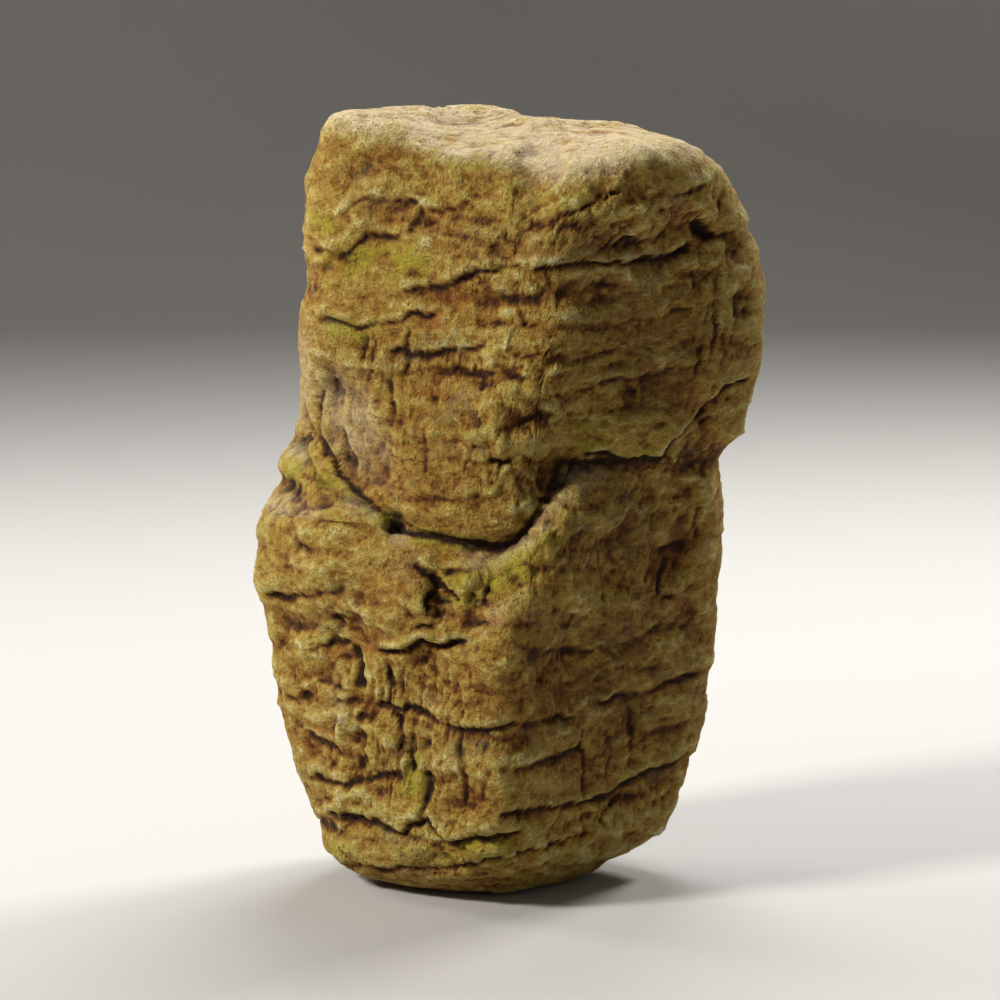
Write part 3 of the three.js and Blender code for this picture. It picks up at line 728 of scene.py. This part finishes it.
def fitToBox(p):
    # moved to stand over the origin; what still leaves the solid's box is held back to its sides
    low, high = (np.array(c) * 1000 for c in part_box("stone"))
    move = -np.array((*stoneForm["middle"], 0.0))
    q = p + move
    print("before it is held to the box:", q.reshape(-1, 3).min(0) - low, q.reshape(-1, 3).max(0) - high)
    return np.clip(q, low + (boxGap, boxGap, 0.0), high - boxGap), move


# patches on the front: pixels across and down, half width, half height, turn
rustPatches = [
    (398, 213, 30, 20, 0), (440, 232, 40, 24, -10), (500, 262, 46, 14, 10), (590, 482, 26, 30, -30),
    (470, 622, 60, 16, 5), (330, 660, 26, 24, 0), (440, 400, 40, 44, 0), (560, 700, 60, 50, 0),
    (330, 740, 34, 30, 0), (620, 250, 70, 16, 8), (690, 560, 24, 60, -10), (600, 790, 60, 14, 15),
    (700, 420, 20, 40, 30), (380, 640, 30, 20, 0), (450, 310, 40, 26, 0)]
algaePatches = [
    (365, 262, 46, 18, 0), (325, 225, 26, 12, -30), (296, 462, 22, 26, -30), (340, 492, 44, 13, -38),
    (385, 517, 26, 12, -20), (440, 540, 40, 12, -10), (510, 568, 44, 24, 30), (462, 590, 26, 22, 0),
    (416, 785, 15, 46, 0), (640, 456, 26, 8, 0), (400, 262, 34, 22, 0), (350, 330, 30, 14, 0),
    (560, 530, 30, 14, 35), (330, 850, 26, 14, 0), (480, 850, 60, 14, 0), (590, 440, 20, 20, 0)]
# patches where the relief is calmer, and where painted light makes the stone paler
calmPatches = [(350, 420, 30, 66, 28), (300, 380, 14, 60, 0)]
# painted shade: patches at the right of the front, turned from the key lamp, painted darker
paintedShadePatches = [
    (650, 340, 100, 100, 0), (620, 700, 100, 130, 0), (620, 530, 70, 70, 0), (690, 640, 24, 60, 0),
    (560, 240, 60, 30, 0)]
patchFade = (0.3, 1.3)
maskForm = {
    # dark crack lines and painted shade in hollows, then the painted highlight on crests
    "crackShare": 0.8, "hollowDepth": 2.2, "wideShare": 0.4, "crestHeight": 1.3, "wideCrestShare": 0.3,
    # the depth of a wide hollow; rust in sheltered hollows; algae behind; the olive painted highlight on
    # crests
    "wideDepth": 3, "shelter": (0.6, 2.4), "shelterRust": 0.55, "filmBehind": 0.55, "crestOliveHighlight": 0.5,
    # painted light: its share on the calm patches, and how far a face must look up to be painted paler
    "calmPaintedLight": 0.6, "lookUp": (0.35, 0.9), "darkness": 0.7}


def patchField(px, py, patches):
    # the strongest of the patches at each point, soft at their rims
    return np.max([ellipse(px, py, place, patchFade) for place in patches], axis=0)


def colourMasks(p, n, cracks, px, py, front):
    # dark crack lines, and painted shade in hollows by how far a point lies below its surroundings, near and
    # wide; a painted highlight on crests by how far it stands above them; rust and algae: their patches on
    # the front, and slow noise and sheltered hollows elsewhere, with an olive painted highlight on crests
    # among the algae; painted light on faces that look up and on the calm patches; painted shade on patches
    # at the right of the front, and darker noise behind
    m = maskForm
    near = ((spread(p, 2) - p) * n).sum(-1)
    wide = ((spread(p, 8) - p) * n).sum(-1) / m["wideDepth"]
    # dark crack lines, and painted shade in hollows, near and wide
    hollow = m["crackShare"] * cracks + near / m["hollowDepth"] + m["wideShare"] * np.clip(wide, -1, 1)
    hollow = np.clip(hollow, 0, 1)
    # painted highlight: how far a point stands above its surroundings, near and wide
    crestHighlight = np.clip(-near / m["crestHeight"] - m["wideCrestShare"] * wide, 0, 1)
    behind = 1 - front
    wander = layers(p, (55, 55, 34), 81, 3)
    rust = np.maximum(front * patchField(px, py, rustPatches), behind * smooth(wander, 0.05, 0.45))
    rust = np.maximum(rust, m["shelterRust"] * smooth(wide * m["wideDepth"], *m["shelter"]))
    film = layers(p, (60, 60, 40), 82, 3)
    filmBehind = m["filmBehind"] * behind * smooth(film, 0.2, 0.5)
    algae = np.maximum(front * patchField(px, py, algaePatches), filmBehind)
    # an olive painted highlight on crests where the film noise is strong
    algae = np.maximum(algae, m["crestOliveHighlight"] * crestHighlight * smooth(film, -0.2, 0.25))
    # painted light: faces that look up, and the calm patches on the front, are painted paler
    up = smooth(n[..., 2], *m["lookUp"])
    pale = np.clip(up + front * m["calmPaintedLight"] * patchField(px, py, calmPatches), 0, 1)
    # painted shade on the patches at the right of the front, and darker noise behind
    dark = front * patchField(px, py, paintedShadePatches) + behind * smooth(layers(p, (80, 80, 60), 83, 2), 0, 0.5)
    dark = m["darkness"] * dark
    return {"hollow": hollow, "crestHighlight": crestHighlight, "rust": rust, "algae": algae, "pale": pale, "dark": dark}


def stoneMesh():
    # the grid as one closed mesh in metres: fours between the rows, and a fan at the foot and at the crown
    p, n, cracks, height, px, py, front = buildStone()
    masks = colourMasks(p, n, cracks, px, py, front)
    masks["height"] = height
    p, move = fitToBox(p)
    rows, columns = p.shape[:2]
    rings = rows - 2
    points = np.concatenate([p[0, :1], p[1:-1].reshape(-1, 3), p[-1, :1]]) / 1000
    column = np.arange(columns)
    nextColumn = (column + 1) % columns
    ring = np.arange(rings - 1)[:, None] * columns + 1
    ringAbove = ring + columns
    quads = np.stack([ring + column, ring + nextColumn, ringAbove + nextColumn, ringAbove + column], -1)
    top = (rings - 1) * columns + 1
    footFans = np.stack([column * 0, nextColumn + 1, column + 1], -1)
    crownFans = np.stack([top + column, top + nextColumn, column * 0 + len(points) - 1], -1)
    faces = quads.reshape(-1, 4).tolist() + footFans.tolist() + crownFans.tolist()
    mesh = bpy.data.meshes.new("stoneWeathered")
    mesh.from_pydata(points.tolist(), [], faces)
    mesh.polygons.foreach_set("use_smooth", np.ones(len(faces), bool))
    for name, values in masks.items():
        flat = np.concatenate([values[0, :1], values[1:-1].ravel(), values[-1, :1]])
        attribute = mesh.attributes.new(name, "FLOAT", "POINT")
        attribute.data.foreach_set("value", flat.astype(np.float32))
    mesh.update()
    piece = bpy.data.objects.new("stoneWeathered", mesh)
    bpy.context.scene.collection.objects.link(piece)
    print("stone:", len(points), "points,", 2 * len(quads.reshape(-1, 4)) + 2 * columns, "triangles")
    return piece, move / 1000


def addNode(tree, kind, **sockets):
    # a node with values set on its sockets, an underscore standing for a space in a socket's name
    node = tree.nodes.new(kind)
    for name, value in sockets.items():
        node.inputs[name.replace("_", " ")].default_value = value
    return node


def dappleGroup():
    # speckles of one size, drawn apart: noise cut between low and high
    group = bpy.data.node_groups.new("dapple", "ShaderNodeTree")
    group.interface.new_socket("Vector", in_out="INPUT", socket_type="NodeSocketVector")
    for name in ("Scale", "Detail", "Low", "High"):
        group.interface.new_socket(name, in_out="INPUT", socket_type="NodeSocketFloat")
    group.interface.new_socket("Mask", in_out="OUTPUT", socket_type="NodeSocketFloat")
    start, end = group.nodes.new("NodeGroupInput"), group.nodes.new("NodeGroupOutput")
    texture = addNode(group, "ShaderNodeTexNoise", Roughness=0.62)
    cut = group.nodes.new("ShaderNodeMapRange")
    cut.interpolation_type = "SMOOTHSTEP"
    link = group.links.new
    link(start.outputs["Vector"], texture.inputs["Vector"])
    link(start.outputs["Scale"], texture.inputs["Scale"])
    link(start.outputs["Detail"], texture.inputs["Detail"])
    link(texture.outputs["Fac"], cut.inputs["Value"])
    link(start.outputs["Low"], cut.inputs["From Min"])
    link(start.outputs["High"], cut.inputs["From Max"])
    link(cut.outputs["Result"], end.inputs["Mask"])
    return group


stoneLook = {
    # from the bottom of a hollow to the top of a lump
    "heights": [
        (0.00, (0.030, 0.010, 0.002)), (0.20, (0.125, 0.042, 0.006)), (0.34, (0.268, 0.122, 0.018)),
        (0.52, (0.390, 0.236, 0.044)), (0.68, (0.485, 0.352, 0.084)), (0.82, (0.610, 0.500, 0.195)),
        (1.00, (0.800, 0.720, 0.470))],
    # the pale colour is painted light; the crack colour marks dark crack lines and paints shade into hollows;
    # the algae colour also paints an olive highlight on crests; the brown colour on the dark mask paints
    # shade
    "rust": (0.330, 0.112, 0.020), "algae": (0.400, 0.345, 0.030), "pale": (0.700, 0.585, 0.380),
    "grey": (0.260, 0.235, 0.120), "crack": (0.026, 0.010, 0.003), "brown": (0.120, 0.052, 0.011),
    # how far the real relief, the finer noise, the crumbs and the broad patches move the colour up the ramp,
    # and how far a crest lifts it, as a painted highlight, and a hollow lowers it, as dark crack lines and
    # painted shade
    "middle": 0.585, "lumpShare": 0.17, "noiseShare": 0.30, "rockyShare": 0.50, "broadShare": 0.14,
    "crestHighlightShare": 0.22, "crackAndShadeShare": 0.34,
    # speckles: scale, detail, and the two values that they are cut between
    "broad": (22, 3, 0.3, 0.7), "dull": (150, 3, 0.3, 0.7),
    # coats over the ramp, in order: the shade, what it follows, its own speckles, and its share; the coat on
    # the dark mask is painted shade on the front and dark tone behind, the pale coat is painted light, the
    # algae coat is also an olive painted highlight on crests, and the crack coat paints dark crack lines and
    # painted shade in hollows
    "coats": [
        ("rust", "rust", (80, 4, 0.38, 0.62), 0.5), ("grey", (34, 4, 0.52, 0.66), (160, 4, 0.42, 0.6), 0.4),
        ("algae", "algae", (110, 4, 0.36, 0.60), 0.85), ("brown", "dark", (90, 4, 0.32, 0.62), 0.75),
        ("pale", "pale", (95, 4, 0.25, 0.60), 0.72), ("brown", None, (480, 2, 0.54, 0.72), 0.4),
        ("crack", "hollow", "hollow", 1.2)],
    # textures: what is set on their sockets
    "rough": {"Scale": 260.0, "Detail": 5.0, "Roughness": 0.68}, "warp": {"Scale": 140.0, "Detail": 2.0},
    "rocky": {"Scale": 170.0, "Detail": 2.0, "Roughness": 0.6, "Lacunarity": 2.3},
    "grain": {"Scale": 750.0, "Detail": 2.0, "Roughness": 0.65},
    "scratch": {"Scale": 430.0, "Detail": 2.0, "Roughness": 0.6},
    "warpReach": 0.005, "rockyMiddle": 0.42,
    "squeeze": (1, 1, 1.4), "drawOut": (1, 1, 0.14),  # in height, for thin layers and for scratches
    # bumps: strength, and height in metres
    "rockyBump": (0.85, 0.0042), "roughBump": (0.9, 0.0045), "scratchBump": (0.9, 0.0012),
    "grainBump": (0.8, 0.0016),
    "roughness": (0.82, 0.97), "specular": 0.25,
}


def stoneMaterial(dapple):
    # noise and the relief's height climb a colour ramp, coats are painted over it, and bumps are chained
    material = bpy.data.materials.new("sandstone")
    material.use_nodes = True
    tree = material.node_tree
    link = tree.links.new
    surface = tree.nodes["Principled BSDF"]
    surface.inputs["Specular IOR Level"].default_value = stoneLook["specular"]
    place = tree.nodes.new("ShaderNodeTexCoord").outputs["Object"]

    def stretched(name):
        node = addNode(tree, "ShaderNodeMapping", Scale=stoneLook[name])
        link(place, node.inputs["Vector"])
        return node.outputs["Vector"]

    flat, upright = stretched("squeeze"), stretched("drawOut")

    def speckle(values, squeezed=True):
        node = tree.nodes.new("ShaderNodeGroup")
        node.node_tree = dapple
        link(flat if squeezed else place, node.inputs["Vector"])
        for name, value in zip(("Scale", "Detail", "Low", "High"), values):
            node.inputs[name].default_value = value
        return node.outputs["Mask"]

    def mask(name):
        node = tree.nodes.new("ShaderNodeAttribute")
        node.attribute_name = name
        return node.outputs["Fac"]

    def maths(kind, a, b, clamp=True):
        node = tree.nodes.new("ShaderNodeMath")
        node.operation = kind
        node.use_clamp = clamp
        for socket, value in zip(node.inputs, (a, b)):
            if isinstance(value, (int, float)):
                socket.default_value = value
            else:
                link(value, socket)
        return node.outputs["Value"]

    def source(what):
        # a mask by its name, or speckles by their values
        return mask(what) if isinstance(what, str) else speckle(what)

    def around(value, middle, share):
        # how far a value stands from its middle, times a share
        return maths("MULTIPLY", maths("SUBTRACT", value, middle, False), share, False)

    def paint(under, over, share):
        node = tree.nodes.new("ShaderNodeMix")
        node.data_type = "RGBA"
        link(share, node.inputs["Factor"])
        a = next(s for s in node.inputs if s.name == "A" and s.type == "RGBA")
        b = next(s for s in node.inputs if s.name == "B" and s.type == "RGBA")
        for socket, value in ((a, under), (b, over)):
            if isinstance(value, str):
                socket.default_value = (*stoneLook[value], 1)
            else:
                link(value, socket)
        return next(s for s in node.outputs if s.type == "RGBA")

    def texture(kind, name, vector):
        node = addNode(tree, kind, **stoneLook[name])
        link(vector, node.inputs["Vector"])
        return node

    rough = texture("ShaderNodeTexNoise", "rough", flat)
    warp = texture("ShaderNodeTexNoise", "warp", flat)
    bend = tree.nodes.new("ShaderNodeVectorMath")
    bend.operation = "MULTIPLY_ADD"
    bend.inputs[1].default_value = [stoneLook["warpReach"]] * 3
    link(warp.outputs["Color"], bend.inputs[0])
    link(flat, bend.inputs[2])
    rocky = texture("ShaderNodeTexVoronoi", "rocky", bend.outputs["Vector"])
    rocky.normalize = True
    lump = around(mask("height"), 0.5, stoneLook["lumpShare"])
    fleck = around(rough.outputs["Fac"], 0.5, 2 * stoneLook["noiseShare"])
    broad = around(speckle(stoneLook["broad"], False), 0.5, stoneLook["broadShare"])
    crumb = around(rocky.outputs["Distance"], stoneLook["rockyMiddle"], 2 * stoneLook["rockyShare"])
    rest = maths("ADD", crumb, maths("ADD", broad, stoneLook["middle"], False), False)
    level = maths("ADD", maths("ADD", lump, fleck, False), rest)
    # a painted highlight lifts the crests; dark crack lines and painted shade lower the hollows
    level = maths("ADD", level, maths("MULTIPLY", mask("crestHighlight"), stoneLook["crestHighlightShare"]))
    level = maths("SUBTRACT", level, maths("MULTIPLY", mask("hollow"), stoneLook["crackAndShadeShare"]))
    ramp = tree.nodes.new("ShaderNodeValToRGB")
    link(level, ramp.inputs["Fac"])
    stops = ramp.color_ramp.elements
    while len(stops) < len(stoneLook["heights"]):
        stops.new(0.5)
    for stop, (position, shade) in zip(stops, stoneLook["heights"]):
        stop.position, stop.color = position, (*shade, 1)
    colour = ramp.outputs["Color"]
    for shade, where, spots, share in stoneLook["coats"]:
        cover = maths("MULTIPLY", source(spots), share)
        colour = paint(colour, shade, maths("MULTIPLY", source(where), cover) if where else cover)
    link(colour, surface.inputs["Base Color"])

    dullness = tree.nodes.new("ShaderNodeMapRange")
    dullness.inputs["To Min"].default_value, dullness.inputs["To Max"].default_value = stoneLook["roughness"]
    link(speckle(stoneLook["dull"]), dullness.inputs["Value"])
    link(dullness.outputs["Result"], surface.inputs["Roughness"])

    grain = texture("ShaderNodeTexNoise", "grain", place)
    scratch = texture("ShaderNodeTexNoise", "scratch", upright)
    normal = None
    for height, name in (
            (rocky.outputs["Distance"], "rockyBump"), (rough.outputs["Fac"], "roughBump"),
            (scratch.outputs["Fac"], "scratchBump"), (grain.outputs["Fac"], "grainBump")):
        strength, distance = stoneLook[name]
        node = addNode(tree, "ShaderNodeBump", Strength=strength, Distance=distance)
        link(height, node.inputs["Height"])
        if normal:
            link(normal, node.inputs["Normal"])
        normal = node.outputs["Normal"]
    link(normal, surface.inputs["Normal"])
    return material


floorLook = {"colour": (0.45, 0.44, 0.425), "roughness": 0.85, "specular": 0.2}


def floorMaterial():
    material = bpy.data.materials.new("paleFloor")
    material.use_nodes = True
    surface = material.node_tree.nodes["Principled BSDF"]
    surface.inputs["Base Color"].default_value = (*floorLook["colour"], 1)
    surface.inputs["Roughness"].default_value = floorLook["roughness"]
    surface.inputs["Specular IOR Level"].default_value = floorLook["specular"]
    return material


# every lamp: where it stands and its side in metres, its power in watts, and its colour
lamps = {
    "keyLeft": ((-1.6, -0.9, 1.4), 0.36, 57.0, (1.0, 0.96, 0.89)),
    "skyBack": ((0.1, 0.85, 1.7), 0.8, 28.0, (0.96, 0.98, 1.0)),
    "rimRight": ((1.3, 1.3, 1.6), 0.5, 44.0, (1.0, 0.97, 0.93)),
    "rimLeft": ((-1.6, 0.9, 0.9), 0.5, 15.0, (1.0, 0.97, 0.94)),
    "fillRight": ((1.7, -0.9, 0.8), 1.2, 0.8, (1.0, 0.98, 0.95)),
}
lampTarget = (0, 0, 0.2)
air = {"colour": (0.95, 0.95, 0.95), "strength": 0.07}
floorForm = {"radius": 3.0, "bend": 1.2, "height": 3.2, "steps": 17, "turns": 96}  # metres


def floorPiece(material):
    # a round floor whose rim curves up into a wall: a profile turned about the upright axis
    arc = np.linspace(0, np.pi / 2, floorForm["steps"])
    radius, bend = floorForm["radius"], floorForm["bend"]
    out = np.concatenate([[0.001], radius + bend * np.sin(arc), [radius + bend]])
    height = np.concatenate([[0], bend * (1 - np.cos(arc)), [floorForm["height"]]])
    turn = np.linspace(0, 2 * np.pi, floorForm["turns"], endpoint=False)[:, None]
    points = np.stack([out * np.cos(turn), out * np.sin(turn), height + 0 * turn], -1)
    count, steps = points.shape[:2]
    i = np.arange(count)[:, None] * steps + np.arange(steps - 1)
    j = (np.arange(count)[:, None] + 1) % count * steps + np.arange(steps - 1)
    mesh = bpy.data.meshes.new("floor")
    faces = np.stack([i + 1, j + 1, j, i], -1).reshape(-1, 4)
    mesh.from_pydata(points.reshape(-1, 3).tolist(), [], faces.tolist())
    mesh.polygons.foreach_set("use_smooth", np.ones(len(mesh.polygons), bool))
    mesh.materials.append(material)
    floor = bpy.data.objects.new("floor", mesh)
    bpy.context.scene.collection.objects.link(floor)


def aimAt(thing, start, target):
    thing.location = start
    thing.rotation_euler = (Vector(target) - Vector(start)).to_track_quat("-Z", "Y").to_euler()


def lightTheRoom():
    for name, (start, side, power, colour) in lamps.items():
        lamp = bpy.data.lights.new(name, "AREA")
        lamp.size, lamp.energy, lamp.color = side, power, colour
        thing = bpy.data.objects.new(name, lamp)
        bpy.context.scene.collection.objects.link(thing)
        aimAt(thing, start, lampTarget)
    world = bpy.context.scene.world or bpy.data.worlds.new("room")
    bpy.context.scene.world = world
    world.use_nodes = True
    background = world.node_tree.nodes["Background"]
    background.inputs["Color"].default_value = (*air["colour"], 1)
    background.inputs["Strength"].default_value = air["strength"]
    bpy.context.scene.view_settings.view_transform = "Standard"


def placeCamera(move):
    # on a line through the aim, tipped down by the tilt, at the photograph's distance
    tilt = np.radians(cameraAt["tilt"])
    aim = np.array(cameraAt["aim"]) / 1000 + move
    start = aim + cameraAt["distance"] / 1000 * np.array((0, -np.cos(tilt), np.sin(tilt)))
    lens = bpy.data.cameras.new("camera")
    lens.lens, lens.sensor_width = cameraAt["lens"], cameraAt["sensor"]
    camera = bpy.data.objects.new("camera", lens)
    bpy.context.scene.collection.objects.link(camera)
    aimAt(camera, start, aim)
    bpy.context.scene.camera = camera


stone, move = stoneMesh()
dapple = dappleGroup()
stone.data.materials.append(stoneMaterial(dapple))
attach(stone, "root")
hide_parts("stone")
placeCamera(move)
floorPiece(floorMaterial())
lightTheRoom()
print("materials, room and camera done")
